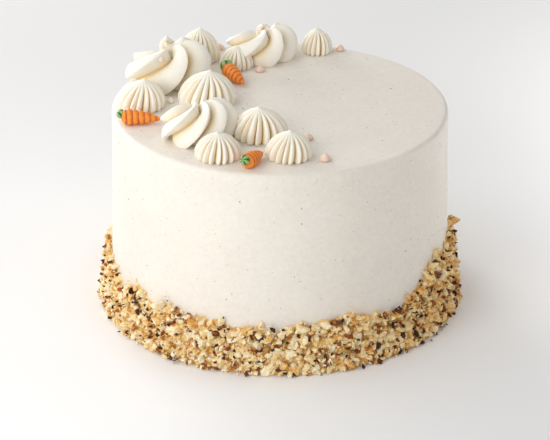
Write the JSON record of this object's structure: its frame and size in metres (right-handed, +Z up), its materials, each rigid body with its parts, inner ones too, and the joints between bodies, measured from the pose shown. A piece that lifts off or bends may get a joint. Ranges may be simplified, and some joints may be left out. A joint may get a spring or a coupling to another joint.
{
  "type": "iced carrot cake",
  "caption": "Tall round cake in smooth cream icing, with a chopped-nut collar at its foot and piped swirls, kisses and sugar carrots on top.",
  "frame": {"origin": "on the surface the cake stands on, under the cake's axis, which is the middle of the bounding box's underside", "axes": "+Z up along the cake's axis; -Y is the front, the side shown; +X is to the right of someone facing the front"},
  "size_m": [0.2294, 0.2291, 0.1531],
  "materials": {
    "frosting": "smooth cream cheese icing spread with a palette knife, satin, with sparse dark spice specks",
    "piping": "piped cream icing, soft satin, with fine drag lines along the ridges",
    "chopped_nuts": "dry chopped walnut, pale cream to tan flesh with brown skin on some faces",
    "carrot_sugar": "orange piped sugar icing with ridges across, slightly glossy",
    "leaf_sugar": "green piped sugar icing, slightly glossy",
    "sugar_drop": "small pale peach sugar drops, satin"
  },
  "bodies": {
    "root": {"cake_body": "frosting", "nut_collar": "chopped_nuts", "kiss_1": "piping", "kiss_2": "piping", "kiss_3": "piping", "kiss_4": "piping", "kiss_5": "piping", "kiss_6": "piping", "kiss_7": "piping", "kiss_8": "piping", "swirl_1": "piping", "swirl_2": "piping", "swirl_3": "piping", "carrot_1": "carrot_sugar", "carrot_2": "carrot_sugar", "carrot_3": "carrot_sugar", "carrot_1_leaf": "leaf_sugar", "carrot_2_leaf": "leaf_sugar", "carrot_3_leaf": "leaf_sugar", "drop_1": "sugar_drop", "drop_2": "sugar_drop", "drop_3": "sugar_drop", "drop_4": "sugar_drop", "drop_5": "sugar_drop", "drop_6": "sugar_drop", "drop_7": "sugar_drop", "drop_8": "sugar_drop"}
  },
  "joints": []
}
